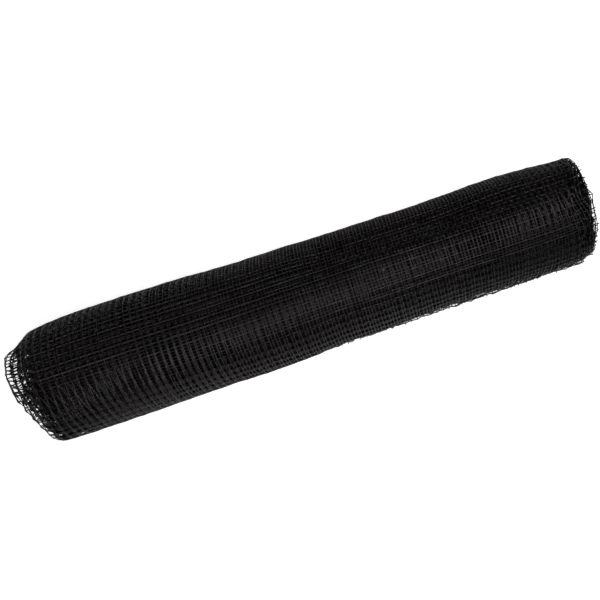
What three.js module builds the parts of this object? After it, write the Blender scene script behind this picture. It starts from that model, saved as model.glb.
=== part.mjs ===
// Roll of black plastic mole netting, lying on its side with its loose end along the front.
// Millimetres, +Z up. The roll lies along X, its loose end is on the -Y side, and Z = 0 is the floor.

import * as THREE from 'three';

// The net: mesh sizes, the width of a thread, and the thickness where one layer lies alone
const MESH_ALONG = 12;
const MESH_AROUND = 15;
const THREAD_WIDTH = 2.2;
const NET_THICKNESS = 1.6;
const CLEARANCE = 0.4;

// The wound roll: half its length, how far its axis lies behind the middle of its depth, how
// far it settles into its flat spot, and its facets
const HALF_LENGTH = 495;
const DEPTH_MIDDLE = 3;
const SETTLED = 3.6;
const SIDES = 48;
const STATION_STEP = 40;

// The outermost turn ends under the roll, so the skin steps in by one wrap at this angle.
// Angles go round the roll from the back (0) over the top (90) and the front (180).
const OUTER_TURN_ENDS_AT = 262;
const WRAP_RISE = 4;

// Sections along the roll: its radius at the back and at the front, and how far its underside
// is lifted off the floor. The left end is rounded at the back and sharper at the front.
const SECTIONS = [
  { at: -495, back: 89, front: 102, lift: 8 },
  { at: -488, back: 93, front: 105, lift: 4 },
  { at: -468, back: 97, front: 107.5, lift: 1 },
  { at: -436, back: 100, front: 107, lift: 0 },
  { at: -340, back: 101.5, front: 106.5, lift: 0 },
  { at: -190, back: 98.8, front: 105, lift: 0 },
  { at: -100, back: 95.5, front: 106.3, lift: 0 },
  { at: -20, back: 95.2, front: 103.7, lift: 0 },
  { at: 34, back: 94.7, front: 98.7, lift: 0 },
  { at: 85, back: 94, front: 99.5, lift: 0 },
  { at: 220, back: 94, front: 95.5, lift: 0 },
  { at: 370, back: 95.5, front: 95.5, lift: 0 },
  { at: 448, back: 91.5, front: 96, lift: 0 },
  { at: 485, back: 90.5, front: 93, lift: 1.5 },
  { at: 495, back: 89.5, front: 87, lift: 4 },
];

// At the right end the turns have slid in by this much at the front
const RIGHT_LEAN = 10;
const RIGHT_LEAN_FADE = 90;

// Long valleys where the wraps have slackened: their ends along X, their angles at those
// ends, their depth, half width in degrees and the length over which they fade out.
const VALLEYS = [
  { from: -520, to: 70, angleFrom: 82, angleTo: 95, depth: 5, halfWidth: 13, fade: 90 },
  { from: -10, to: 520, angleFrom: 71, angleTo: 85, depth: 5.5, halfWidth: 12, fade: 70 },
  { from: -330, to: 250, angleFrom: 164, angleTo: 156, depth: 2.5, halfWidth: 16, fade: 160 },
  { from: -420, to: 430, angleFrom: 340, angleTo: 352, depth: 3, halfWidth: 20, fade: 200 },
];

// Gentle unevenness all round: waves around the roll, their height and their length along X
const SWELLS = [
  { waves: 3, height: 1.1, length: 980 },
  { waves: 5, height: 0.6, length: -640 },
];

// The spiral that shows on the end faces: coarse turns, their relief and the hollow eye
const END_TURNS = 4;
const END_RINGS = 20;
const END_RELIEF = 5;
const EYE_DEPTH = 14;
const EYE_SHARE = 0.13;
const LEFT_SEAT_SHARE = 0.74;
const RIGHT_SEAT_SHARE = 0.97;

// The turn that has slid out at the left end: its own arc, sunk a little below the roll's axis,
// and how far its folded edge reaches out of the roll at each angle
const SLIPPED_RADIUS = 90;
const SLIPPED_CENTRE = { y: -6, z: 97 };
const SLIPPED_ROWS = 2;
const SLIPPED_REACH = [
  { at: 46, reach: 9 },
  { at: 52, reach: 23 },
  { at: 62, reach: 29.5 },
  { at: 72, reach: 31 },
  { at: 84, reach: 29.5 },
  { at: 96, reach: 27 },
  { at: 112, reach: 21 },
  { at: 126, reach: 15 },
  { at: 142, reach: 10 },
  { at: 160, reach: 8 },
  { at: 190, reach: 8 },
];
const SLIPPED_FURTHEST = Math.max(...SLIPPED_REACH.map((row) => row.reach));

// The loose end on the floor: its rows run from under the roll out to its border in front
const LOOSE_END_FROM = -472;
const LOOSE_END_MESHES = 79;
const LOOSE_END_INNER = -38;
const LOOSE_END_ROWS = 3;
const LOOSE_END_BORDER = [
  { at: -472, y: -76 },
  { at: -300, y: -78 },
  { at: -90, y: -79 },
  { at: 40, y: -78 },
  { at: 160, y: -78 },
  { at: 340, y: -78 },
  { at: 480, y: -76 },
];

const radians = THREE.MathUtils.degToRad;

// The value of one column of a table at a place, on a smooth curve through the table's rows.
function columnAt(table, column, place) {
  const last = table.length - 1;
  const at = THREE.MathUtils.clamp(place, table[0].at, table[last].at);
  let row = 0;
  while (row < last - 1 && at > table[row + 1].at) row += 1;
  const slopeAt = (index) => {
    const before = table[Math.max(index - 1, 0)];
    const after = table[Math.min(index + 1, last)];
    return (after[column] - before[column]) / (after.at - before.at);
  };
  const start = table[row];
  const end = table[row + 1];
  const span = end.at - start.at;
  const t = (at - start.at) / span;
  const ease = t * t * (3 - 2 * t);
  const bend = t * (1 - t) * span * (slopeAt(row) * (1 - t) - slopeAt(row + 1) * t);
  return start[column] * (1 - ease) + end[column] * ease + bend;
}

// How deep the valleys are at a place on the skin, with the angle in degrees.
function valleyDepth(x, angle) {
  let depth = 0;
  for (const valley of VALLEYS) {
    const share = THREE.MathUtils.clamp((x - valley.from) / (valley.to - valley.from), 0, 1);
    const middle = THREE.MathUtils.lerp(valley.angleFrom, valley.angleTo, share);
    const away = THREE.MathUtils.euclideanModulo(angle - middle + 180, 360) - 180;
    const fadeIn = THREE.MathUtils.smoothstep(x, valley.from, valley.from + valley.fade);
    const fadeOut = 1 - THREE.MathUtils.smoothstep(x, valley.to - valley.fade, valley.to);
    depth += valley.depth * fadeIn * fadeOut * Math.exp(-((away / valley.halfWidth) ** 2));
  }
  return depth;
}

function swellHeight(x, angle) {
  let height = 0;
  for (const swell of SWELLS) {
    const phase = swell.waves * radians(angle) + (2 * Math.PI * x) / swell.length;
    height += swell.height * Math.sin(phase);
  }
  return height;
}

// The roll's radius at a place on its skin: between its back and front radius, less one wrap's
// rise round the turn, the valleys and the swells.
function skinRadius(x, angle) {
  const back = columnAt(SECTIONS, 'back', x);
  const front = columnAt(SECTIONS, 'front', x);
  const round = (back + front) / 2 + ((back - front) / 2) * Math.cos(radians(angle));
  const turn = THREE.MathUtils.euclideanModulo(angle - OUTER_TURN_ENDS_AT, 360) / 360;
  const wrap = WRAP_RISE * (0.5 - turn);
  return round + wrap - valleyDepth(x, angle) + swellHeight(x, angle);
}

function axisHeight(x) {
  const radius = (columnAt(SECTIONS, 'back', x) + columnAt(SECTIONS, 'front', x)) / 2;
  return radius - SETTLED + columnAt(SECTIONS, 'lift', x);
}

// How far a place near the right end is moved in, from nothing at the back to most at the front.
function rightLean(x, angle) {
  const near = THREE.MathUtils.smoothstep(x, HALF_LENGTH - RIGHT_LEAN_FADE, HALF_LENGTH);
  return RIGHT_LEAN * near * (0.5 - 0.5 * Math.cos(radians(angle))) ** 2;
}

// How far an end face lies inside the roll's rim: a spiral of coarse turns round a hollow eye.
function endDepth(share, angle, seatShare) {
  const turns = 0.5 - 0.5 * Math.cos(2 * Math.PI * (END_TURNS * share + angle / 360));
  const inside = 1 - THREE.MathUtils.smoothstep(share, seatShare - 0.1, seatShare);
  const eye = Math.exp(-((share / EYE_SHARE) ** 2));
  return END_RELIEF * turns * inside * (1 - eye) + EYE_DEPTH * eye;
}

function material(color, roughness) {
  return new THREE.MeshStandardMaterial({ color, roughness, metalness: 0 });
}

function namedMesh(name, geometry, finish) {
  const mesh = new THREE.Mesh(geometry, finish);
  mesh.name = name;
  return mesh;
}

// The wound net as one body: a turned profile of shares of the radius, moved out to the skin.
function makeNetRoll() {
  const profile = [];
  for (let ring = 0; ring < END_RINGS; ring += 1) {
    profile.push(new THREE.Vector2(ring / END_RINGS, -HALF_LENGTH));
  }
  const stations = SECTIONS.flatMap((section, index) => {
    const next = SECTIONS[index + 1];
    if (!next) return [section.at];
    const steps = Math.ceil((next.at - section.at) / STATION_STEP);
    return Array.from({ length: steps }, (_, step) => section.at + ((next.at - section.at) * step) / steps);
  });
  for (const x of stations) {
    profile.push(new THREE.Vector2(1, x));
  }
  for (let ring = END_RINGS - 1; ring >= 0; ring -= 1) {
    profile.push(new THREE.Vector2(ring / END_RINGS, HALF_LENGTH));
  }

  const geometry = new THREE.LatheGeometry(profile, SIDES);
  const position = geometry.attributes.position;
  for (let index = 0; index < position.count; index += 1) {
    const station = position.getY(index);
    const share = Math.hypot(position.getX(index), position.getZ(index));
    const angle = THREE.MathUtils.radToDeg(Math.atan2(position.getX(index), position.getZ(index)));
    const radius = share * skinRadius(station, angle);
    let x = station - share * rightLean(station, angle);
    if (station === -HALF_LENGTH) x += endDepth(share, angle, LEFT_SEAT_SHARE);
    if (station === HALF_LENGTH) x -= endDepth(share, angle, RIGHT_SEAT_SHARE);
    const y = radius * Math.cos(radians(angle));
    const z = axisHeight(station) + radius * Math.sin(radians(angle));
    position.setXYZ(index, x, y, Math.max(z, 0));
  }
  geometry.computeVertexNormals();
  return geometry;
}

// A sheet of net as one body with its meshes open: threads lie on even steps of each way, and
// place(step, row, side) gives the point, with side 0 under the net and side 1 on it.
function netSheet(meshes, rows, place) {
  const across = 2 * meshes + 2;
  const up = 2 * rows + 2;
  const vertices = [];
  for (let side = 0; side < 2; side += 1) {
    for (let row = 0; row < up; row += 1) {
      for (let step = 0; step < across; step += 1) {
        vertices.push(...place(step, row, side));
      }
    }
  }
  const at = (step, row, side) => (side * up + row) * across + step;
  const solid = (step, row) => {
    const inside = step >= 0 && row >= 0 && step < across - 1 && row < up - 1;
    return inside && !(step % 2 === 1 && row % 2 === 1);
  };
  const indices = [];
  const quad = (a, b, c, d) => indices.push(a, b, c, a, c, d);
  for (let row = 0; row < up - 1; row += 1) {
    for (let step = 0; step < across - 1; step += 1) {
      if (!solid(step, row)) continue;
      const corners = [[step, row], [step + 1, row], [step + 1, row + 1], [step, row + 1]];
      const beside = [[step, row - 1], [step + 1, row], [step, row + 1], [step - 1, row]];
      const [a, b, c, d] = corners.map(([s, r]) => at(s, r, 1));
      const [e, f, g, h] = corners.map(([s, r]) => at(s, r, 0));
      quad(a, b, c, d);
      quad(h, g, f, e);
      beside.forEach(([s, r], edge) => {
        if (solid(s, r)) return;
        const from = corners[edge];
        const to = corners[(edge + 1) % 4];
        quad(at(...from, 0), at(...to, 0), at(...to, 1), at(...from, 1));
      });
    }
  }
  const geometry = new THREE.BufferGeometry();
  geometry.setAttribute('position', new THREE.Float32BufferAttribute(vertices, 3));
  geometry.setIndex(indices);
  geometry.computeVertexNormals();
  return geometry;
}

// Where a line of a net sheet lies: each mesh has a line on both sides of its thread.
function lineAt(line, pitch) {
  return Math.floor(line / 2) * pitch + (line % 2) * THREAD_WIDTH;
}

// The edge of the turn that has slid out: an arc of open net against the left end face,
// which runs back into the roll towards both ends of the arc.
function makeSlippedTurn() {
  const firstAngle = SLIPPED_REACH[0].at;
  const degreesOfArc = SLIPPED_REACH[SLIPPED_REACH.length - 1].at - firstAngle;
  const arc = radians(degreesOfArc) * SLIPPED_RADIUS;
  const meshes = Math.round((arc - THREAD_WIDTH) / MESH_AROUND);
  const arcPitch = (arc - THREAD_WIDTH) / meshes;
  return netSheet(meshes, SLIPPED_ROWS, (step, row, side) => {
    const angle = firstAngle + (lineAt(step, arcPitch) / arc) * degreesOfArc;
    const reach = columnAt(SLIPPED_REACH, 'reach', angle);
    const inward = lineAt(row, MESH_ALONG) / lineAt(2 * SLIPPED_ROWS + 1, MESH_ALONG);
    const radius = SLIPPED_RADIUS - NET_THICKNESS * (1 - side);
    return [
      -HALF_LENGTH - CLEARANCE - reach * (1 - inward),
      SLIPPED_CENTRE.y + radius * Math.cos(radians(angle)),
      SLIPPED_CENTRE.z + radius * Math.sin(radians(angle)),
    ];
  });
}

// The last rows of the net, flat on the floor along the front of the roll.
function makeLooseEnd() {
  return netSheet(LOOSE_END_MESHES, LOOSE_END_ROWS, (step, row, side) => {
    const x = LOOSE_END_FROM + lineAt(step, MESH_ALONG);
    const border = columnAt(LOOSE_END_BORDER, 'y', x);
    const inward = lineAt(row, MESH_AROUND) / lineAt(2 * LOOSE_END_ROWS + 1, MESH_AROUND);
    return [x, THREE.MathUtils.lerp(border, LOOSE_END_INNER, inward), NET_THICKNESS * side];
  });
}

const blackNet = material(0x151517, 0.55);
const looseNet = material(0x1b1b1d, 0.5);

// The origin is on the floor, under the middle of the whole length with the slipped turn and
// the middle of the depth, which lies nearer the front than the roll's axis.
const roll = new THREE.Group();
roll.position.x = (SLIPPED_FURTHEST + CLEARANCE) / 2;
roll.position.y = DEPTH_MIDDLE;
roll.add(namedMesh('net_roll', makeNetRoll(), blackNet));
roll.add(namedMesh('slipped_turn', makeSlippedTurn(), looseNet));
roll.add(namedMesh('loose_end', makeLooseEnd(), looseNet));

export default roll;
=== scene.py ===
# %% [markdown]
# # A roll of mole netting
#
# The real thing is one long black plastic net, folded double and wound up loosely. It could be
# faked with a picture of a net on a cylinder, but then its ends, its see-through edges and the
# pattern of layer over layer would be lost. So the net is modelled thread by thread: cut flat,
# wound round the roll's core line, and given its threads last.

# %% Load the solids as a fixed frame
import math

import bmesh
import bpy
import numpy as np
from mathutils import Matrix, Vector
from mathutils.bvhtree import BVHTree


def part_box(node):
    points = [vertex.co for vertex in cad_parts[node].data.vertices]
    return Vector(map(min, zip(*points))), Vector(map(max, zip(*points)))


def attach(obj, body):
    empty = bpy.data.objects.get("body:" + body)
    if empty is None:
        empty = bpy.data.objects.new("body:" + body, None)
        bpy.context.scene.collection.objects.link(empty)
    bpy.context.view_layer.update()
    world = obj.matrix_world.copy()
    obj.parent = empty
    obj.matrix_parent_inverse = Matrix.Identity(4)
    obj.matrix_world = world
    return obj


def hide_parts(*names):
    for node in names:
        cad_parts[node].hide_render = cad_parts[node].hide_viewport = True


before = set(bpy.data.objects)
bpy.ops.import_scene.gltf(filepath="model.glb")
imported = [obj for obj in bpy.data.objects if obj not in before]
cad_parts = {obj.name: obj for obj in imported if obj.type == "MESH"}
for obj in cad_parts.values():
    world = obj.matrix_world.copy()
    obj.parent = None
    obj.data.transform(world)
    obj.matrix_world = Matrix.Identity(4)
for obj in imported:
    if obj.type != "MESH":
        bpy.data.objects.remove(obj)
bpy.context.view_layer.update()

MM = 0.001
roll_low, roll_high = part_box("net_roll")
LEFT, RIGHT = roll_low.x, roll_high.x
print("roll from", round(LEFT, 4), "to", round(RIGHT, 4), "m along X")

# %% [markdown]
# ## Reading the roll's skin
#
# The solid roll already has the right outer form: thicker at the left, a waist, long valleys and
# a rounded left end. The net has to lie in that form, so its radius is measured on the solid with
# rays that come in from outside towards the roll's core line. The solid's skin steps in by one
# wrap where the outermost turn ends. That step is taken out here, and winding brings it back.
# Angles count from the back, over the top, to the front and round underneath.

# %% Measure the radius all round and all along
CORE_Y = 3 * MM
CORE_HEIGHT_LEFT, CORE_HEIGHT_RIGHT = 100 * MM, 89.5 * MM
SOLID_STEP = 4 * MM
RIGHT_LEAN = 10 * MM
OUTER_TURN_STARTS_AT = 262
UNDERSIDE = (234, 306)
END_MARGIN = 0.5 * MM
RAY_START = 0.2
STATION_COUNT, ANGLE_STEP = 141, 3
STATIONS = np.linspace(LEFT + END_MARGIN, RIGHT - RIGHT_LEAN - END_MARGIN, STATION_COUNT)
ANGLES = np.arange(0, 360, ANGLE_STEP)


def core_height(x):
    return np.interp(x, (LEFT, RIGHT), (CORE_HEIGHT_LEFT, CORE_HEIGHT_RIGHT))


def measured_radius(solid, x, angle):
    core = Vector((x, CORE_Y, float(core_height(x))))
    out = Vector((0, math.cos(math.radians(angle)), math.sin(math.radians(angle))))
    skin = solid.ray_cast(core + out * RAY_START, -out)[0]
    return (skin - core).length


solid_roll = BVHTree.FromObject(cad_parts["net_roll"], bpy.context.evaluated_depsgraph_get())
radii = np.array([[measured_radius(solid_roll, x, angle) for angle in ANGLES] for x in STATIONS])
turned = (ANGLES - OUTER_TURN_STARTS_AT) % 360 / 360
radii -= SOLID_STEP * (0.5 - turned)
under = (ANGLES > UNDERSIDE[0]) & (ANGLES < UNDERSIDE[1])
for row in radii:
    row[under] = np.interp(ANGLES[under], ANGLES[~under], row[~under])
radii = (np.roll(radii, 1, axis=1) + 2 * radii + np.roll(radii, -1, axis=1)) / 4
print("radius from", radii.min().round(4), "to", radii.max().round(4), "m")

# %% Look the radius up between the measured places


def skin_radius(x, angle):
    station = np.interp(x, STATIONS, np.arange(STATION_COUNT))
    step = angle % 360 / 360 * len(ANGLES)
    near, ahead = np.floor(station).astype(int), np.floor(step).astype(int)
    far, after = np.minimum(near + 1, STATION_COUNT - 1), (ahead + 1) % len(ANGLES)
    along, round_it = station - near, step - ahead
    ahead = ahead % len(ANGLES)
    first = radii[near, ahead] * (1 - along) + radii[far, ahead] * along
    second = radii[near, after] * (1 - along) + radii[far, after] * along
    return first * (1 - round_it) + second * round_it


print("radius on top at mid length:", skin_radius(np.zeros(1), np.full(1, 90.0)).round(4)[0], "m")

# %% [markdown]
# ## Winding
#
# A roll is a spiral: with each turn the net lies one wrap further in. Equal steps along the net
# are wanted, not equal angles, because the meshes have one size from the outermost turn to the
# eye. So the spiral's length is added up first, and a row's angle is looked up from its length.
# A turn holds two thirds of a row more than a whole number, so that rows don't lie on rows.

# %% The spiral from the loose end to the eye
TURNS, TIGHT_TURNS = 15, 4
TIGHT_WRAP, CORE_WRAP = 2.2 * MM, 6.4 * MM
MEAN_RADIUS = float(radii.mean())
ROWS_PER_TURN = 38 + 2 / 3
MESH_ALONG, MESH_AROUND = 12 * MM, 2 * math.pi * MEAN_RADIUS / ROWS_PER_TURN
SPIRAL_STEPS = 4001


def wrap_depth(turn):
    return TIGHT_WRAP * np.minimum(turn, TIGHT_TURNS) + CORE_WRAP * np.maximum(turn - TIGHT_TURNS, 0)


def share_of_radius(turn):
    return 1 + (TIGHT_WRAP / 2 - wrap_depth(turn)) / MEAN_RADIUS


turn_steps = np.linspace(0, TURNS, SPIRAL_STEPS)
step_shares = np.where(turn_steps < TIGHT_TURNS, 1, share_of_radius(turn_steps))
step_lengths = 2 * np.pi * MEAN_RADIUS * step_shares * (turn_steps[1] - turn_steps[0])
lengths = np.concatenate(([0], np.cumsum(step_lengths)[:-1]))
ROWS = int(lengths[-1] / MESH_AROUND)
COLUMNS = round((RIGHT - LEFT) / MESH_ALONG)


def turn_at(length):
    return np.interp(length, lengths, turn_steps)


def row_at(turn):
    return round(float(np.interp(turn, turn_steps, lengths)) / MESH_AROUND)


print(ROWS, "rows of", COLUMNS, "meshes, twice over;", round(lengths[-1], 2), "m of net")

# %% [markdown]
# ## Unevenness
#
# No net is wound evenly. Noise for each point would look like fur, so a few long waves with
# seeded phases make slow wandering that is the same on each run. Each use of it has its own
# seed, and each thread also has a small shift of its own.

# %% Slow wandering over the net
WAVES, WAVES_PER_METRE = 6, 3.5
WANDER_SEEDS = {
    "drift round": 1,
    "inner layer round": 2,
    "drift along": 3,
    "inner layer along": 4,
    "layer gap": 5,
    "bumps": 6,
    "front tuck": 7,
    "fold edge": 31,
    "cut edge": 32,
    "loose along": 41,
    "loose inner along": 42,
    "loose across": 43,
    "loose inner across": 44,
}


def wander(name, along, around):
    draw = np.random.default_rng(WANDER_SEEDS[name])
    total = np.zeros_like(along)
    for _ in range(WAVES):
        per_metre_along, per_metre_around = draw.uniform(-WAVES_PER_METRE, WAVES_PER_METRE, 2)
        phase = draw.uniform(0, 2 * np.pi)
        total += np.sin(2 * np.pi * (per_metre_along * along + per_metre_around * around) + phase)
    return total / WAVES


THREAD_SHIFT, THREAD_SEED = 0.5 * MM, 11
draw_threads = np.random.default_rng(THREAD_SEED)
row_shifts = draw_threads.normal(0, THREAD_SHIFT, ROWS + 1)
column_shifts = draw_threads.normal(0, THREAD_SHIFT, 2 * COLUMNS + 1)
print("threads shifted by up to", round(float(abs(row_shifts).max() / MM), 2), "mm")

# %% [markdown]
# ## The slipped turns and the loose end
#
# At the left end a few turns under the outermost one have slid out of the roll, and the net's
# loose end lies on the floor. How far the slipped net reaches at each angle is read off its
# solid, and so is the loose end's border, so that the scene agrees with the CAD part.

# %% Read the slipped net's reach and the loose end's border


def node_points(name):
    return np.array([vertex.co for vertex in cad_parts[name].data.vertices])


def lowest_of_each(keys, values):
    found = {}
    for key, value in zip(np.round(keys, 4), values):
        found[key] = min(value, found.get(key, value))
    ordered = sorted(found)
    return np.array(ordered), np.array([found[key] for key in ordered])


SLIPPED_CENTRE_Y, SLIPPED_CENTRE_Z = -3 * MM, 97 * MM
slipped_points = node_points("slipped_turn")
slipped_y = slipped_points[:, 1] - SLIPPED_CENTRE_Y
slipped_z = slipped_points[:, 2] - SLIPPED_CENTRE_Z
SLIPPED_RADIUS = float(np.hypot(slipped_y, slipped_z).mean())
slipped_angles = np.round(np.degrees(np.arctan2(slipped_z, slipped_y)) % 360, 1)
reach_angles, reach_ends = lowest_of_each(slipped_angles, slipped_points[:, 0])
loose_points = node_points("loose_end")
border_along, border_ends = lowest_of_each(loose_points[:, 0], loose_points[:, 1])
print("slipped net at radius", round(SLIPPED_RADIUS, 4), "reaches to", reach_ends.min().round(4))
print("loose end reaches out to", border_ends.min().round(4))

# %% [markdown]
# ## The net's two edges
#
# Both layers meet in a fold at the left end and were cut off at the right end. Straight edges
# would look sawn, so the cut edge is ragged and leans with the roll's end face. On top, the
# outermost turn is set back a little at the fold and has a slot at the cut, so that the turns
# below it show, and the second and third turns stick out past the cut as lace. Deep in the roll
# both edges recede, which leaves a shallow eye.

# %% Where the net starts and ends along the roll
LEFT_RAGGED, LEFT_RAGGED_RATE = 1.5 * MM, 1.4
LEFT_RAGGED_FROM, LEFT_RAGGED_FULL = 3.5, 4.5
REVEAL, REVEAL_CENTRE, REVEAL_HALF_WIDTH = 4.0 * MM, 108, 22
RIGHT_FURTHER, TURN_FURTHER = 4.0 * MM, 0.4 * MM
RIGHT_RAGGED, RIGHT_RAGGED_RATE = 3.0 * MM, 2.5
LACE_FROM_TURN, LACE_TO_TURN = 1, 3
LACE_REACH, LACE_CENTRE, LACE_HALF_WIDTH = 3.0 * MM, 115, 35
SLOT_DEPTH, SLOT_CENTRE, SLOT_HALF_WIDTH = 15.0 * MM, 90, 22
EYE_RECESS, LEFT_EYE_TURNS, RIGHT_EYE_TURNS = 14 * MM, 3, 5


def smooth_step(value, low, high):
    share = np.clip((value - low) / (high - low), 0, 1)
    return share * share * (3 - 2 * share)


def bell(away, half_width):
    return np.exp(-(away / half_width) ** 2)


def left_edge(length, turn, angle):
    waves = 0.5 + 0.5 * wander("fold edge", length * 0, length * LEFT_RAGGED_RATE)
    ragged = LEFT_RAGGED * smooth_step(turn, LEFT_RAGGED_FROM, LEFT_RAGGED_FULL) * waves
    set_back = REVEAL * (turn < 1) * bell(angle % 360 - REVEAL_CENTRE, REVEAL_HALF_WIDTH)
    return LEFT + ragged + set_back + EYE_RECESS * smooth_step(turn, TURNS - LEFT_EYE_TURNS, TURNS)


def right_edge(length, turn, angle):
    lean = RIGHT_LEAN * (0.5 - 0.5 * np.cos(np.radians(angle))) ** 2
    ragged = RIGHT_RAGGED * (0.5 + wander("cut edge", length * 0, length * RIGHT_RAGGED_RATE))
    ragged -= TURN_FURTHER * np.minimum(np.floor(turn), TIGHT_TURNS)
    lace = bell(angle % 360 - LACE_CENTRE, LACE_HALF_WIDTH)
    ragged -= LACE_REACH * lace * (turn >= LACE_FROM_TURN) * (turn < LACE_TO_TURN)
    slot = SLOT_DEPTH * bell(angle % 360 - SLOT_CENTRE, SLOT_HALF_WIDTH) * (turn < 1)
    recess = EYE_RECESS * smooth_step(turn, TURNS - RIGHT_EYE_TURNS, TURNS)
    return RIGHT + RIGHT_FURTHER - lean - recess, ragged, slot


print("eye recessed by", round(EYE_RECESS / MM), "mm, slot", round(SLOT_DEPTH / MM), "mm deep")

# %% [markdown]
# ## Turns that slide out
#
# The slipped turns could be a separate ring of net, but then their threads would not run on into
# the roll. So they are the same net, pushed out at the left by a share of the reach that was read
# off the solid. Each turn has its own shares round the arc, so that their borders cross.

# %% How far each turn slides out
SLIDE_ANGLES = (88, 112, 124, 136, 150, 172)
SLIDE_SHARES = {
    1: (1.0, 1.0, 0.68, 0.66, 0.6, 0.3),
    2: (1.0, 0.9, 1.0, 0.83, 0.8, 0.4),
    3: (0.6, 0.75, 0.84, 1.0, 1.0, 0.5),
    4: (0.25, 0.5, 0.52, 0.5, 0.4, 0.2),
}
ARC_BEFORE, ARC_AFTER = 12, 25
ARC_EARLIER, ARC_EARLIER_BELOW = 8, 70


def slide(turn, angle):
    arc_angles = reach_angles - ARC_EARLIER * (reach_angles < ARC_EARLIER_BELOW)
    angles = np.concatenate(([arc_angles[0] - ARC_BEFORE], arc_angles, [arc_angles[-1] + ARC_AFTER]))
    reaches = np.concatenate(([0], LEFT - reach_ends, [0]))
    shares = np.zeros_like(turn)
    for number, at_angles in SLIDE_SHARES.items():
        here = np.floor(turn) == number
        shares[here] = np.interp(angle[here] % 360, SLIDE_ANGLES, at_angles)
    return shares * np.interp(angle % 360, angles, reaches, left=0, right=0)


print(len(SLIDE_SHARES), "turns slide out by up to", ((LEFT - reach_ends.min()) / MM).round(1), "mm")

# %% [markdown]
# ## Round the roll
#
# The flat net has one unit for each mesh: x counts meshes across both layers, with the fold in
# the middle, and y counts rows from the loose end. The inner layer hangs on the same fold and
# drifts out of step with the outer one away from it, which gives the changing pattern where two
# layers cross.

# %% The turn on which each flat point lies
FREE_MESHES, PARTED_MESHES = 5, 2
WANDER_AROUND = 2.5 * MM
WANDER_REACH, WANDER_PER_TURN = 0.16, 0.03
INNER_AROUND, INNER_DRIFT_AROUND = MESH_AROUND / 3, 1.6 * MM


def folded(flat_column, columns):
    from_fold = abs(flat_column - columns)
    layer = 0.5 + 0.5 * np.clip(flat_column - columns, -1, 1)
    return from_fold, layer


def wander_ring(length):
    turns_in = turn_at(length)
    return WANDER_REACH * np.sin(2 * np.pi * turns_in) + WANDER_PER_TURN * turns_in


def place_round(from_fold, layer, flat_row):
    along = from_fold * MESH_ALONG
    length = flat_row * MESH_AROUND
    ring = wander_ring(length)
    shift = np.interp(flat_row, np.arange(ROWS + 1), row_shifts)
    inner_around = INNER_AROUND + INNER_DRIFT_AROUND * wander("inner layer round", along, ring)
    drift = smooth_step(from_fold, 0, FREE_MESHES) * WANDER_AROUND * wander("drift round", along, ring)
    drift += smooth_step(from_fold, 0, PARTED_MESHES) * layer * inner_around
    return turn_at(np.maximum(length + shift + drift, 0))


print("inner layer", round(INNER_AROUND / MM, 1), "mm out of step round the roll")

# %% [markdown]
# ## Along the roll
#
# The columns are spread evenly between the net's two edges and then bent: threads bow round the
# roll, as if it was wound a little askew, the slipped turns are gathered towards the fold, and
# the second turn lies half a mesh out of step near the fold and a quarter near the cut.

# %% The place of each flat point along the roll
FREE_CUT_MESHES = 6
SLOT_ZONE_FROM, CUT_ZONE_FROM = 0.92, 0.965
SLIDE_FADE = 0.25
GATHERED, GATHERED_WIDTH, GATHERED_SLIDE = 0.2, 40 * MM, 10 * MM
BOW_LEFT, BOW_RIGHT, BOW_CENTRE = 12 * MM, 5 * MM, 105
WANDER_ALONG = 4.0 * MM
INNER_ALONG_LEFT, INNER_ALONG_RIGHT, INNER_DRIFT_ALONG = 2.2 * MM, -6.0 * MM, 1.3 * MM
INNER_STEP_FROM, INNER_STEP_TO = 0.15, 0.4
TURN_BLEND = 0.1
QUARTER_STEP_FROM, QUARTER_STEP_FULL = 0.75, 0.9


def even_places(share, length, turn, angle):
    start = left_edge(length, turn, angle)
    end, ragged, slot = right_edge(length, turn, angle)
    x = start + share * (end - start) - slot * smooth_step(share, SLOT_ZONE_FROM, 1)
    return x - ragged * smooth_step(share, CUT_ZONE_FROM, 1)


def place_along(flat_column, flat_row, from_fold, layer, turn, angle):
    share, along = from_fold / COLUMNS, from_fold * MESH_ALONG
    length = flat_row * MESH_AROUND
    ring = wander_ring(length)
    free = smooth_step(from_fold, 0, FREE_MESHES)
    ends_free = free * smooth_step(COLUMNS - from_fold, 0, FREE_CUT_MESHES)
    half = smooth_step(share, INNER_STEP_FROM, INNER_STEP_TO)

    x = even_places(share, length, turn, angle)
    slid = slide(turn, angle)
    still_slid = 1 - smooth_step(along, 0, SLIDE_FADE)
    x -= slid * still_slid
    gathered = smooth_step(slid, 0, GATHERED_SLIDE) * GATHERED * np.minimum(along, GATHERED_WIDTH)
    x -= gathered * still_slid
    bow = BOW_LEFT + (BOW_RIGHT - BOW_LEFT) * share
    x += ends_free * bow * (1 - np.cos(np.radians(angle - BOW_CENTRE)))
    x += np.interp(flat_column, np.arange(2 * COLUMNS + 1), column_shifts)
    x += free * WANDER_ALONG * wander("drift along", along, ring)
    inner_along = INNER_ALONG_LEFT + (INNER_ALONG_RIGHT - INNER_ALONG_LEFT) * half
    inner_along += INNER_DRIFT_ALONG * wander("inner layer along", along, ring)
    x += free * layer * inner_along
    second = smooth_step(turn, 1 - TURN_BLEND, 1) - smooth_step(turn, 2 - TURN_BLEND, 2)
    x += free * (1 - half) * second * MESH_ALONG / 2
    quarter = smooth_step(share, QUARTER_STEP_FROM, QUARTER_STEP_FULL) - smooth_step(share, CUT_ZONE_FROM, 1)
    x += quarter * second * MESH_ALONG / 4
    return x


print("meshes", round(MESH_ALONG / MM, 1), "by", round(MESH_AROUND / MM, 1), "mm")

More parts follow.
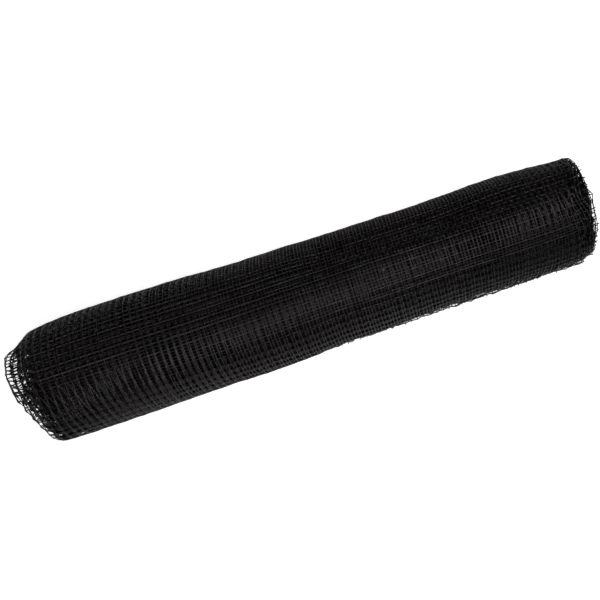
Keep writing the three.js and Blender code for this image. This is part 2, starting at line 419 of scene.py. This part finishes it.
# %% [markdown]
# ## Out from the core
#
# Each turn follows the measured skin, scaled in by its depth in the roll. Small changes bring
# the form closer to the photo than the plain solid: a valley that lies further back, a fuller
# back, and a lower front that is drawn in at the right. The turns stop at the floor, and what has
# slid out past the roll's end keeps the round arc of its solid.

# %% The place of each flat point across the roll
THREAD_RADIUS = 1.0 * MM
LAYER_GAP, LAYER_GAP_WANDER, LAYER_GAP_RATE = 0.9 * MM, 0.2 * MM, 2
BUMPS, BUMP_RATE = 0.5 * MM, 5
VALLEY_BACK, VALLEY_ANGLE, VALLEY_HALF_WIDTH = 9, 80, 45
BACK_SWELL_AT = (-0.45, -0.40, -0.20, -0.12, 0.0, 0.25, 0.38, 0.45, 0.50)
BACK_SWELL_MM = (1.8, 2.8, 2.8, 1.2, 0.4, 1.2, 3.6, 3.2, 2.0)
BACK_ANGLE, BACK_HALF_WIDTH = 20, 35
FRONT_TUCK, FRONT_ANGLE, FRONT_HALF_WIDTH = 3.4 * MM, 195, 30
FRONT_UNEVEN, FRONT_RATE = 0.7, 7
TUCK_FROM, TUCK_FULL = 0.12, 0.28
ARC_BLEND = 10 * MM
NEARLY_LEVEL = 1e-6


def near_angle(angle, centre, half_width):
    # the back lies where angles jump from 360 to 0, so the difference is wrapped
    return bell((angle - centre + 180) % 360 - 180, half_width)


def wound_radius(x, along, length, turn, angle, sunk):
    skin_angle = angle + VALLEY_BACK * near_angle(angle, VALLEY_ANGLE, VALLEY_HALF_WIDTH)
    radius = share_of_radius(turn) * skin_radius(x, skin_angle) - THREAD_RADIUS - sunk
    radius += BUMPS * wander("bumps", along * BUMP_RATE, length * BUMP_RATE)
    swell = MM * np.interp(x, BACK_SWELL_AT, BACK_SWELL_MM)
    radius += swell * near_angle(angle, BACK_ANGLE, BACK_HALF_WIDTH)
    tucked = smooth_step(x, TUCK_FROM, TUCK_FULL) * near_angle(angle, FRONT_ANGLE, FRONT_HALF_WIDTH)
    radius -= FRONT_TUCK * tucked * (1 + FRONT_UNEVEN * wander("front tuck", along * FRONT_RATE, 0 * along))
    down = -np.sin(np.radians(angle))
    to_floor = (core_height(x) - THREAD_RADIUS - wrap_depth(turn) - sunk) / np.maximum(down, NEARLY_LEVEL)
    return np.where(down > 0, np.minimum(radius, to_floor), radius)


def place_across(x, along, length, layer, turn, angle):
    gap = LAYER_GAP + LAYER_GAP_WANDER * wander("layer gap", along * LAYER_GAP_RATE, length * LAYER_GAP_RATE)
    radius = wound_radius(x, along, length, turn, angle, layer * gap)
    sine, cosine = np.sin(np.radians(angle)), np.cos(np.radians(angle))
    y, z = CORE_Y + radius * cosine, core_height(x) + radius * sine
    outside = smooth_step(LEFT - x, 0, ARC_BLEND)
    arc_radius = SLIPPED_RADIUS + (0.5 - layer) * gap - TIGHT_WRAP * np.maximum(np.floor(turn) - 1, 0)
    y += outside * (SLIPPED_CENTRE_Y + arc_radius * cosine - y)
    z += outside * (SLIPPED_CENTRE_Z + arc_radius * sine - z)
    return y, z


print("lower front drawn in by about", round(FRONT_TUCK / MM, 1), "mm at the right")

# %% Wind flat points onto the roll


def wind(flat_column, flat_row):
    from_fold, layer = folded(flat_column, COLUMNS)
    turn = place_round(from_fold, layer, flat_row)
    angle = OUTER_TURN_STARTS_AT + 360 * turn
    x = place_along(flat_column, flat_row, from_fold, layer, turn, angle)
    y, z = place_across(x, from_fold * MESH_ALONG, flat_row * MESH_AROUND, layer, turn, angle)
    return np.stack((x, y, z), axis=1)


first_fold_point = wind(np.full(1, float(COLUMNS)), np.zeros(1))[0]
print("the fold starts at", first_fold_point.round(3))

# %% [markdown]
# ## From a flat grid to threads
#
# A grid from bmesh has just the meshes of the net. Each of its edges becomes a thread with the
# Wireframe modifier, which leaves one closed body with no loose crossings. Where the net is seen
# closely, bisect_edges puts a point in the middle of each thread, so that the thread can be
# thinner there than at its crossings, as in drawn plastic net. The modifier reads the thickness
# from a vertex group, which a deform layer of the bmesh fills.

# %% Flat nets and the thickness of their threads
CROSSING_SHARE, MIDDLE_SHARE, SLIPPED_MIDDLE_SHARE = 0.64, 0.5, 0.38
THREAD_THICKNESS = 2 * THREAD_RADIUS / CROSSING_SHARE
HALF_WAY = 0.25


def flat_net(columns, first_row, rows, step=1):
    net = bmesh.new()
    bmesh.ops.create_grid(net, x_segments=columns // step, y_segments=rows, size=0.5)
    bmesh.ops.scale(net, vec=Vector((columns, rows, 1)), verts=net.verts)
    middle = Vector((columns / 2, first_row + rows / 2, 0))
    bmesh.ops.translate(net, vec=middle, verts=net.verts)
    return net


def points_of(net):
    return np.array([vertex.co for vertex in net.verts])


def place_points(net, places):
    for vertex, place in zip(net.verts, places):
        vertex.co = place


def half_way(values):
    return abs(values - np.round(values)) > HALF_WAY


def weigh_threads(net, flat, middle):
    weights = net.verts.layers.deform.verify()
    shares = np.where(half_way(flat[:, 0]) | half_way(flat[:, 1]), middle, CROSSING_SHARE)
    for vertex, share in zip(net.verts, shares):
        vertex[weights][0] = share


print("plain threads are set to", round(THREAD_THICKNESS / MM, 2), "mm, of which each point has a share")

# %% [markdown]
# ## Painted shade on buried threads
#
# The real roll is dark between its outer threads, but in a render light reaches the deeper
# ones through the open meshes. Many more turns would block it but cost many faces, so the shade is
# painted: each point stores how deep it is buried, and the finish makes buried threads darker and
# duller as painted shade. The lower front gets a share of this painted shade towards its ends, and
# the deeper turns get it in full at the cut, because the real roll looks darker there.

# %% Store each thread's painted shade, from how deep it is buried
# Painted shade of buried threads: unshaded layers at the fold and the cut, layers to full shade, and fully
# shaded columns at the cut
SEEN_AT_FOLD, SEEN_AT_CUT, BURIED_LAYERS, DARK_CUT_COLUMNS = 2.7, 1.7, 2.3, 2.5
# Painted shade on the lower front towards both ends, by share along the roll and by angle
FRONT_SHADE_ALONG, FRONT_SHADE_SHARES = (0.05, 0.2, 0.62, 0.85, 0.95), (0.25, 0, 0, 0.5, 0.62)
FRONT_SHADE_ANGLES, FRONT_SHADE_BY_ANGLE = (105, 135, 215, 245), (0, 1, 1, 0)


def paint_thread_shade(net, flat):
    depth = net.verts.layers.float.new("painted_shade")
    turned = turn_at(flat[:, 1] * MESH_AROUND)
    turns = np.floor(turned)
    layers_above = 2 * turns + (flat[:, 0] > COLUMNS)
    from_fold = abs(flat[:, 0] - COLUMNS)
    seen = np.interp(from_fold / COLUMNS, (INNER_STEP_FROM, INNER_STEP_TO), (SEEN_AT_FOLD, SEEN_AT_CUT))
    shares = np.clip((layers_above - seen) / BURIED_LAYERS, 0, 1)
    # painted shade on the lower front, growing towards both ends
    at_front = np.interp((OUTER_TURN_STARTS_AT + 360 * turned) % 360, FRONT_SHADE_ANGLES, FRONT_SHADE_BY_ANGLE)
    shares = np.maximum(shares, at_front * np.interp(from_fold / COLUMNS, FRONT_SHADE_ALONG, FRONT_SHADE_SHARES))
    # painted shade: the deeper turns are shaded black at the cut
    shares[(COLUMNS - from_fold < DARK_CUT_COLUMNS) & (turns >= 1)] = 1
    for vertex, share in zip(net.verts, shares):
        vertex[depth] = share


print("towards the cut, threads are darkest", round(SEEN_AT_CUT + BURIED_LAYERS, 1), "layers down")

# %% Turn a net's edges into threads


def new_piece(name, net):
    mesh = bpy.data.meshes.new(name)
    net.to_mesh(mesh)
    net.free()
    piece = bpy.data.objects.new(name, mesh)
    bpy.context.scene.collection.objects.link(piece)
    return piece


def give_threads(piece, thicker):
    group = piece.vertex_groups.new(name="thread")
    threads = piece.modifiers.new("threads", "WIREFRAME")
    threads.thickness = THREAD_THICKNESS * thicker
    threads.offset = 0
    threads.use_replace = True
    threads.use_boundary = True
    threads.use_even_offset = False
    threads.use_relative_offset = False
    threads.vertex_group = group.name
    threaded = bpy.data.meshes.new_from_object(
        piece.evaluated_get(bpy.context.evaluated_depsgraph_get()))
    piece.modifiers.clear()
    piece.vertex_groups.clear()
    old, piece.data = piece.data, threaded
    bpy.data.meshes.remove(old)
    threaded.name = piece.name
    at_crossings = THREAD_THICKNESS * thicker * CROSSING_SHARE
    print(piece.name, "has threads", round(at_crossings / MM, 2), "mm thick at their crossings")


# %% [markdown]
# ## Cut ends
#
# At the right end the net was cut across its threads, so each of them sticks out a little past
# the last mesh. Longer threads in the grid would all point the same way, so each stub is a
# four-sided cone of its own length and direction, joined to the net's mesh.

# %% Stubs along the cut edge
STUB_SHORTEST, STUB_LONGEST = 2.0 * MM, 6.5 * MM
STUB_SPLAY = 0.5
STUB_SIDES, STUB_ROOT, STUB_TIP = 4, 1.1, 0.6


def add_stubs(piece, roots, directions, seed, longest, painted_shade):
    draw = np.random.default_rng(seed)
    stubs = bmesh.new()
    depth = stubs.verts.layers.float.new("painted_shade")
    for root, direction in zip(roots, directions):
        length = draw.uniform(STUB_SHORTEST, longest)
        splay = Vector(draw.normal(0, STUB_SPLAY, 3))
        way = (Vector(direction).normalized() + splay).normalized()
        turn = way.to_track_quat("Z", "X").to_matrix().to_4x4()
        place = Matrix.Translation(Vector(root) + way * length / 2) @ turn
        bmesh.ops.create_cone(stubs, cap_ends=True, segments=STUB_SIDES, radius1=THREAD_RADIUS * STUB_ROOT,
                              radius2=THREAD_RADIUS * STUB_TIP, depth=length, matrix=place)
    # each stub takes one share of painted shade
    for vertex in stubs.verts:
        vertex[depth] = painted_shade
        vertex.co.z = max(vertex.co.z, 0)
    stubs.from_mesh(piece.data)
    stubs.to_mesh(piece.data)
    stubs.free()
    print(len(roots), "stubs on", piece.name)


# %% [markdown]
# ## Finishing a net piece
#
# Each piece gets a map of its own for baked pictures, with one small square for every face. An
# unwrap by angle would leave nearly all of the picture to the margins round so many thin threads.

# %% Map, shading and frame calls
MAP_INSET, FACE_CORNERS = 0.08, 4


def add_bake_map(mesh):
    counts = np.empty(len(mesh.polygons), int)
    mesh.polygons.foreach_get("loop_total", counts)
    face = np.repeat(np.arange(len(counts)), counts)
    corner = (np.arange(len(face)) - np.repeat(np.cumsum(counts) - counts, counts)) % FACE_CORNERS
    squares = math.ceil(math.sqrt(len(counts)))
    low, high = MAP_INSET, 1 - MAP_INSET
    across = np.choose(corner, (low, high, high, low)) + face % squares
    upward = np.choose(corner, (low, low, high, high)) + face // squares
    bake_map = mesh.uv_layers.new(name="OFBake")
    bake_map.data.foreach_set("uv", (np.stack((across, upward), axis=1) / squares).ravel())


def finish_piece(piece, node, material):
    mesh = piece.data
    mesh.materials.clear()
    mesh.materials.append(material)
    mesh.shade_smooth()
    add_bake_map(mesh)
    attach(piece, "root")
    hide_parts(node)
    triangles = sum(len(face.vertices) - 2 for face in mesh.polygons)
    print(piece.name, "has", triangles, "triangles")


# %% [markdown]
# ## Black plastic
#
# The threads are drawn plastic: black, with a soft sheen, a fine grain and a little pale dust. A
# single colour would make them look like ink. Both finishes share grain, dust and the painted shade
# of buried threads, so these are a node group that gives a colour, a roughness and a height. The
# Principled shader stays in each material.

# %% A node group for drawn plastic thread
DUST_SCALE, DUST_DETAIL = 38.0, 3.0
GRAIN_SCALE, GRAIN_DETAIL, GRAIN_ROUGHER = 900.0, 2.0, 0.3
DUST_FROM, DUST_FULL = 0.45, 0.75
MIX_FIRST, MIX_SECOND, MIX_RESULT = 6, 7, 2
GROUP_INPUTS = {
    "Thread": "NodeSocketColor",
    "Painted shade": "NodeSocketColor",
    # colour of the painted shade on buried threads
    "Dust": "NodeSocketColor",
    "Dusty": "NodeSocketFloat",
    "Gloss": "NodeSocketFloat",
}
GROUP_OUTPUTS = {"Color": "NodeSocketColor", "Roughness": "NodeSocketFloat", "Height": "NodeSocketFloat"}


def add_node(tree, kind, **values):
    node = tree.nodes.new(kind)
    for name, value in values.items():
        if name in node.inputs:
            node.inputs[name].default_value = value
        else:
            setattr(node, name, value)
    return node


def add_mix(tree, factor, first, second):
    mix = add_node(tree, "ShaderNodeMix", data_type="RGBA")
    tree.links.new(factor, mix.inputs["Factor"])
    tree.links.new(first, mix.inputs[MIX_FIRST])
    tree.links.new(second, mix.inputs[MIX_SECOND])
    return mix.outputs[MIX_RESULT]


def drawn_plastic_group():
    tree = bpy.data.node_groups.new("drawn plastic", "ShaderNodeTree")
    for name, kind in GROUP_INPUTS.items():
        tree.interface.new_socket(name, in_out="INPUT", socket_type=kind)
    for name, kind in GROUP_OUTPUTS.items():
        tree.interface.new_socket(name, in_out="OUTPUT", socket_type=kind)
    given = tree.nodes.new("NodeGroupInput").outputs
    result = tree.nodes.new("NodeGroupOutput").inputs
    place = tree.nodes.new("ShaderNodeTexCoord")
    blotches = add_node(tree, "ShaderNodeTexNoise", Scale=DUST_SCALE, Detail=DUST_DETAIL)
    grain = add_node(tree, "ShaderNodeTexNoise", Scale=GRAIN_SCALE, Detail=GRAIN_DETAIL)
    for noise in (blotches, grain):
        tree.links.new(place.outputs["Object"], noise.inputs["Vector"])

    dust_amount = add_node(tree, "ShaderNodeMapRange")
    dust_amount.inputs["From Min"].default_value = DUST_FROM
    dust_amount.inputs["From Max"].default_value = DUST_FULL
    tree.links.new(blotches.outputs["Fac"], dust_amount.inputs["Value"])
    tree.links.new(given["Dusty"], dust_amount.inputs["To Max"])
    # painted shade: buried threads are mixed towards a darker colour
    painted_shade = add_node(tree, "ShaderNodeAttribute", attribute_name="painted_shade")
    dusted = add_mix(tree, dust_amount.outputs["Result"], given["Thread"], given["Dust"])
    tree.links.new(add_mix(tree, painted_shade.outputs["Fac"], dusted, given["Painted shade"]), result["Color"])

    rough = add_node(tree, "ShaderNodeMath", operation="MULTIPLY_ADD")
    rough.inputs[1].default_value = GRAIN_ROUGHER
    tree.links.new(grain.outputs["Fac"], rough.inputs[0])
    tree.links.new(given["Gloss"], rough.inputs[2])
    tree.links.new(rough.outputs["Value"], result["Roughness"])
    tree.links.new(grain.outputs["Fac"], result["Height"])
    return tree


drawn_plastic = drawn_plastic_group()
print(drawn_plastic.name, "gives", ", ".join(GROUP_OUTPUTS))

# %% [markdown]
# ## Two finishes
#
# The wound net has the full sheen, and the single net at the left end and on the floor is a
# little rougher and cleaner. As painted shade, the shine of buried threads is turned down in each
# material and not in the group, which gives only a colour, a roughness and a height.

# %% The wound and the single finish
# The darker second black and the low shine on the next line are painted shade for buried threads
BLACK, SHADED_BLACK, DUST = (0.0052, 0.0043, 0.0048), (0.0016, 0.0014, 0.0015), (0.018, 0.0155, 0.0165)
PLASTIC_IOR, SHEEN_TINT, SHADED_SHINE = 1.49, (1.0, 0.95, 0.98), 0.05
GRAIN_BUMP, GRAIN_HEIGHT = 0.25, 0.2 * MM


def net_material(name, dusty, gloss, shine):
    material = bpy.data.materials.new(name)
    material.use_nodes = True
    tree = material.node_tree
    plastic = tree.nodes["Principled BSDF"]
    plastic.inputs["IOR"].default_value = PLASTIC_IOR
    plastic.inputs["Specular Tint"].default_value = (*SHEEN_TINT, 1)
    finish = add_node(tree, "ShaderNodeGroup", node_tree=drawn_plastic)
    finish.inputs["Thread"].default_value = (*BLACK, 1)
    finish.inputs["Painted shade"].default_value = (*SHADED_BLACK, 1)
    finish.inputs["Dust"].default_value = (*DUST, 1)
    finish.inputs["Dusty"].default_value = dusty
    finish.inputs["Gloss"].default_value = gloss
    bump = add_node(tree, "ShaderNodeBump", Strength=GRAIN_BUMP, Distance=GRAIN_HEIGHT)
    tree.links.new(finish.outputs["Height"], bump.inputs["Height"])
    tree.links.new(bump.outputs["Normal"], plastic.inputs["Normal"])
    tree.links.new(finish.outputs["Color"], plastic.inputs["Base Color"])
    tree.links.new(finish.outputs["Roughness"], plastic.inputs["Roughness"])
    # painted shade: the shine of buried threads is turned down
    painted_shade = add_node(tree, "ShaderNodeAttribute", attribute_name="painted_shade")
    gleam = add_node(tree, "ShaderNodeMapRange")
    gleam.inputs["To Min"].default_value = shine
    gleam.inputs["To Max"].default_value = SHADED_SHINE
    tree.links.new(painted_shade.outputs["Fac"], gleam.inputs["Value"])
    tree.links.new(gleam.outputs["Result"], plastic.inputs["Specular IOR Level"])
    return material


wound_finish = net_material("wound net", dusty=0.35, gloss=0.17, shine=0.6)
single_finish = net_material("single net", dusty=0.25, gloss=0.2, shine=0.5)
print("finishes:", wound_finish.name, single_finish.name)

# %% [markdown]
# ## Crossings out of line
#
# Besides the slow wandering, each crossing is pushed a little out of line, most at the frayed
# cut edge and on the slipped turns, where nothing holds the net. A point half way along a thread
# takes the mean of its two crossings, so that threads stay straight between them.

# %% Shifts of single crossings
CROSSING_SHIFT, SLIPPED_SHIFT, SLIPPED_COLUMNS = 0.25 * MM, 0.9 * MM, 4.5
CUT_ROUGHER, CUT_ROUGHER_FROM, CUT_COLUMNS, FRAYED = 0.5, 0.5, 2.5, 3.0


def crossing_shifts(flat, first, last):
    draw = np.random.default_rng(first)
    shifts = draw.normal(0, CROSSING_SHIFT, (2 * COLUMNS + 1, last - first + 1, 3))
    from_fold = abs(np.arange(2 * COLUMNS + 1) - COLUMNS)
    shifts *= 1 + CUT_ROUGHER * smooth_step(from_fold / COLUMNS, CUT_ROUGHER_FROM, 1)[:, None, None]
    shifts[from_fold > COLUMNS - CUT_COLUMNS] *= FRAYED
    if first > 0:
        shifts[from_fold < SLIPPED_COLUMNS] *= SLIPPED_SHIFT / CROSSING_SHIFT
    low, high = np.floor(flat).astype(int), np.ceil(flat).astype(int)
    return (shifts[low[:, 0], low[:, 1] - first] + shifts[high[:, 0], high[:, 1] - first]) / 2


print("crossings out of line by", round(CROSSING_SHIFT / MM, 2), "to", round(SLIPPED_SHIFT / MM, 2), "mm")

# %% [markdown]
# ## The wound turns
#
# The roll is made in a few stretches of net, from the outside in, so that no piece is too heavy.
# Only the outermost turn's outer layer and the fold of the slipped turns need points in the
# middle of their threads. From the fifth turn inwards little but the two ends shows, so that net
# has half as many columns, a mesh apart near the fold and the cut and wider apart between them.

# %% Cut and wind one stretch of net
FOLD_MESHES, CUT_MESHES = 12, 8


def closer_at_ends(columns, step):
    knots = np.array((0, CUT_MESHES, COLUMNS - FOLD_MESHES, COLUMNS))
    even = np.array((0, step * CUT_MESHES, COLUMNS - step * FOLD_MESHES, COLUMNS))
    from_cut = COLUMNS - abs(columns - COLUMNS)
    return COLUMNS + np.sign(columns - COLUMNS) * (COLUMNS - np.interp(from_cut, even, knots))


def is_outer_layer(edge):
    return max(vertex.co.x for vertex in edge.verts) <= COLUMNS


def is_near_fold(edge):
    return max(abs(vertex.co.x - COLUMNS) for vertex in edge.verts) < SLIPPED_COLUMNS


def wound_net(from_turn, to_turn, step):
    first, last = row_at(from_turn), min(row_at(to_turn), ROWS)
    net = flat_net(2 * COLUMNS, first, last - first, step)
    if from_turn == 0:
        bmesh.ops.bisect_edges(net, edges=[e for e in net.edges if is_outer_layer(e)], cuts=1)
    elif from_turn in SLIDE_SHARES:
        bmesh.ops.bisect_edges(net, edges=[e for e in net.edges if is_near_fold(e)], cuts=1)
    flat = np.round(2 * points_of(net)) / 2
    uneven = crossing_shifts(flat, first, last)
    weigh_threads(net, flat, MIDDLE_SHARE if from_turn == 0 else SLIPPED_MIDDLE_SHARE)
    if step > 1:
        flat[:, 0] = closer_at_ends(flat[:, 0], step)
    paint_thread_shade(net, flat)
    places = wind(flat[:, 0], flat[:, 1]) + uneven
    places[:, 2] = np.maximum(places[:, 2], THREAD_RADIUS)
    place_points(net, places)
    return net


def cut_ends(from_turn, to_turn):
    rows = np.arange(row_at(from_turn), min(row_at(to_turn), ROWS) + 1, dtype=float)
    roots, directions = [], []
    for edge, inside in ((0.0, 1.0), (2.0 * COLUMNS, 2.0 * COLUMNS - 1)):
        root = wind(np.full(len(rows), edge), rows)
        roots.extend(root)
        directions.extend(root - wind(np.full(len(rows), inside), rows))
    return roots, directions


print("rows where the turns start:", [row_at(turn) for turn in range(TURNS)])

# %% [markdown]
# ## Parting the slipped net from the roll
#
# What has slid out past the roll's end stands for a node of its own, so it is a piece of its
# own. Each stretch with slipped turns is copied, one copy keeps the faces outside and the other
# those inside, and the outside parts are collected in one bmesh.

# %% Wind the stretches
CORE_THICKER = 2.0
STRETCHES = {
    "outer_turn": (0, 1, 1),
    "second_turn": (1, 2, 1),
    "third_turn": (2, 3, 1),
    "fourth_turn": (3, 4, 1),
    "core_outer_turns": (4, 8, 2),
    "core_inner_turns": (8, TURNS, 2),
}


def keep_faces(net, outside):
    unwanted = [f for f in net.faces if (f.calc_center_median().x < LEFT - END_MARGIN) != outside]
    bmesh.ops.delete(net, geom=unwanted, context="FACES")


def part_slipped(net, slipped_net):
    outside = net.copy()
    keep_faces(outside, True)
    keep_faces(net, False)
    slid_out = bpy.data.meshes.new("slid out")
    outside.to_mesh(slid_out)
    outside.free()
    slipped_net.from_mesh(slid_out)
    bpy.data.meshes.remove(slid_out)


slipped_net = bmesh.new()
for seed, (name, (from_turn, to_turn, step)) in enumerate(STRETCHES.items()):
    net = wound_net(from_turn, to_turn, step)
    if from_turn in SLIDE_SHARES:
        part_slipped(net, slipped_net)
    piece = new_piece(name, net)
    give_threads(piece, 1 if step == 1 else CORE_THICKER)
    # painted shade: stubs of every turn but the outermost are shaded in full
    add_stubs(piece, *cut_ends(from_turn, to_turn), seed, STUB_LONGEST, painted_shade=min(from_turn, 1))
    finish_piece(piece, "net_roll", wound_finish)

# %% The slipped turns as one piece
SLIPPED_THICKER = 1.8
print(len(slipped_net.faces), "meshes of the net have slid out")
slipped_turn = new_piece("slipped_net", slipped_net)
give_threads(slipped_turn, SLIPPED_THICKER)
finish_piece(slipped_turn, "slipped_turn", single_finish)

# %% [markdown]
# ## The loose end
#
# The outermost rows of the net lie on the floor along the front of the roll, folded double like
# the rest. A cloth simulation could lay them, but they have to keep to the border of their solid,
# so a formula places them. Towards the right the rows bunch up into a narrow lace.

# %% Where the loose end lies
loose_low, loose_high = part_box("loose_end")
LOOSE_COLUMNS, LOOSE_ROWS = round((loose_high.x - loose_low.x) / MESH_ALONG), 4
LOOSE_INNER = -11 * MM
LOOSE_FURTHER, LOOSE_LONGER = 2 * MM, 12 * MM
LOOSE_DRAWN_IN, LOOSE_BUNCHED, LOOSE_CLOSER = 1.5 * MM, 1.3, 0.75
LOOSE_FREE_MESHES = 10
LOOSE_WANDER, LOOSE_RATE = 1.5 * MM, 3
LOOSE_INNER_ALONG, LOOSE_INNER_ACROSS, LOOSE_INNER_DRIFT = 6 * MM, 5 * MM, 3 * MM


def lay(flat_column, flat_row):
    from_fold, layer = folded(flat_column, LOOSE_COLUMNS)
    x = loose_low.x + from_fold * (loose_high.x + LOOSE_LONGER - loose_low.x) / LOOSE_COLUMNS
    bunched = smooth_step(x, TUCK_FROM, TUCK_FULL)
    border = np.interp(x, border_along, border_ends) - LOOSE_FURTHER + LOOSE_DRAWN_IN * bunched
    share = (flat_row / LOOSE_ROWS) ** (1 + LOOSE_BUNCHED * bunched)
    y = border + share * (LOOSE_INNER - border)
    free = smooth_step(from_fold, 0, LOOSE_FREE_MESHES)
    inner_along = LOOSE_INNER_ALONG + LOOSE_INNER_DRIFT * wander("loose inner along", x, y)
    x = x + free * (LOOSE_WANDER * wander("loose along", x, y * LOOSE_RATE) + layer * inner_along)
    inner_across = LOOSE_INNER_ACROSS + LOOSE_INNER_DRIFT * wander("loose inner across", x, y)
    inner_across *= 1 - LOOSE_CLOSER * bunched
    y = y + free * (LOOSE_WANDER * wander("loose across", x, y * LOOSE_RATE) + layer * inner_across)
    z = THREAD_RADIUS + (1 - layer) * 2 * THREAD_RADIUS
    return np.stack((x, y, z), axis=1)


print(LOOSE_ROWS, "rows of", LOOSE_COLUMNS, "meshes lie on the floor, twice over")

# %% Lay the loose end on the floor
LOOSE_THICKER = 1.3
LOOSE_SHIFT, LOOSE_SEED = 0.9 * MM, 17
LOOSE_STUB_LONGEST, LOOSE_STUB_SEED = 4.5 * MM, 7
net = flat_net(2 * LOOSE_COLUMNS, 0, LOOSE_ROWS)
bmesh.ops.bisect_edges(net, edges=net.edges, cuts=1)
flat = points_of(net)
weigh_threads(net, flat, MIDDLE_SHARE)
loose_places = lay(flat[:, 0], flat[:, 1])
loose_places[:, :2] += np.random.default_rng(LOOSE_SEED).normal(0, LOOSE_SHIFT, (len(flat), 2))
place_points(net, loose_places)
loose_end = new_piece("loose_net", net)
give_threads(loose_end, LOOSE_THICKER)
cut_columns = np.arange(0.0, 2 * LOOSE_COLUMNS + 1)
cut_points = lay(cut_columns, np.zeros_like(cut_columns))
cut_ways = cut_points - lay(cut_columns, np.ones_like(cut_columns))
add_stubs(loose_end, cut_points, cut_ways, LOOSE_STUB_SEED, LOOSE_STUB_LONGEST, painted_shade=0)
finish_piece(loose_end, "loose_end", single_finish)

# %% [markdown]
# ## Floor and wall
#
# Black threads show little but what they mirror, so a pale studio matters beside the lamps. The
# floor glows softly, which keeps shadows faint, and a round wall stands far behind on all sides
# so that low views don't end in the dark.

# %% A pale floor and a wall all round
STUDIO_RADIUS, WALL_HEIGHT, ROUND_SEGMENTS = 6.0, 2.4, 96
MATTE = 0.9


def pale_finish(name, grey, glow):
    finish = bpy.data.materials.new(name)
    finish.use_nodes = True
    matte = finish.node_tree.nodes["Principled BSDF"]
    matte.inputs["Base Color"].default_value = (grey, grey, grey, 1)
    matte.inputs["Roughness"].default_value = MATTE
    matte.inputs["Emission Color"].default_value = (1, 1, 1, 1)
    matte.inputs["Emission Strength"].default_value = glow
    return finish


floor_mesh = bmesh.new()
bmesh.ops.create_circle(floor_mesh, cap_ends=True, segments=ROUND_SEGMENTS, radius=STUDIO_RADIUS)
floor = new_piece("floor", floor_mesh)
floor.data.materials.append(pale_finish("pale floor", grey=0.86, glow=0.7))
wall_mesh = bmesh.new()
bmesh.ops.create_cone(wall_mesh, segments=ROUND_SEGMENTS, radius1=STUDIO_RADIUS, radius2=STUDIO_RADIUS,
                      depth=WALL_HEIGHT, matrix=Matrix.Translation((0, 0, WALL_HEIGHT / 2)))
bmesh.ops.reverse_faces(wall_mesh, faces=wall_mesh.faces)
wall = new_piece("wall", wall_mesh)
wall.data.materials.append(pale_finish("pale wall", grey=0.7, glow=0.15))
print("studio", 2 * STUDIO_RADIUS, "m across")

# %% [markdown]
# ## Light
#
# Three softboxes light the roll from above, from the upper front and from the upper right. The
# bright bands along the roll are their mirror images in the threads, so their places were fitted
# until the bands lay where the photo has them. The world adds almost nothing.

# %% Softboxes and world
LAMP_AIM = Vector((0, 0, 0.1))
WORLD_GLOW = 0.02
SOFTBOXES = {
    "top softbox": ((0.2, -0.65, 1.98), (1.3, 0.9), 13),
    "front softbox": ((0.15, -1.29, 1.63), (1.2, 0.5), 15),
    "right softbox": ((0.9, 0.17, 2.09), (1.0, 0.5), 11.5),
}


def softbox(name, place, size, power):
    light = bpy.data.lights.new(name, "AREA")
    light.shape = "RECTANGLE"
    light.size, light.size_y = size
    light.energy = power
    lamp = bpy.data.objects.new(name, light)
    lamp.location = place
    lamp.rotation_euler = (LAMP_AIM - Vector(place)).to_track_quat("-Z", "Y").to_euler()
    bpy.context.scene.collection.objects.link(lamp)


for name, (place, size, power) in SOFTBOXES.items():
    softbox(name, place, size, power)
world = bpy.data.worlds.new("studio")
world.use_nodes = True
world.node_tree.nodes["Background"].inputs["Color"].default_value = (1, 1, 1, 1)
world.node_tree.nodes["Background"].inputs["Strength"].default_value = WORLD_GLOW
bpy.context.scene.world = world
print("softboxes of", sum(power for place, size, power in SOFTBOXES.values()), "W in all")

# %% [markdown]
# ## Camera
#
# The picture is taken from high above the front, square to the roll's middle, with the camera
# turned so that the roll rises to the right. Its axes are worked out as vectors, because a turn
# about the view direction is easier to follow that way than as three angles.

# %% Camera
ELEVATION, CAMERA_TURN = math.radians(75), math.radians(18.42)
CAMERA_DISTANCE, LENS = 1.70, 58.0
aim = Vector((-0.004, 0.003, 0.0935))
back = Vector((0, -math.cos(ELEVATION), math.sin(ELEVATION)))
level_up = Vector((0, math.sin(ELEVATION), math.cos(ELEVATION)))
right = Vector((math.cos(CAMERA_TURN), 0, 0)) - level_up * math.sin(CAMERA_TURN)
up = back.cross(right)
camera = bpy.data.objects.new("camera", bpy.data.cameras.new("camera"))
camera.data.lens = LENS
pose = Matrix((right, up, back)).transposed().to_4x4()
pose.translation = aim + back * CAMERA_DISTANCE
camera.matrix_world = pose
bpy.context.scene.collection.objects.link(camera)
bpy.context.scene.camera = camera
bpy.context.scene.view_settings.view_transform = "Standard"
print("camera at", [round(value, 3) for value in pose.translation])

# %% [markdown]
# ## Sheets and sizes
#
# The slipped net and the loose end are sheets, each with both layers opened out. Their area is half
# the surface of their threads.


def half_surface(piece):
    return sum(face.area for face in piece.data.polygons) / 2


print("half surfaces:", round(half_surface(slipped_turn), 4), round(half_surface(loose_end), 4), "m2")
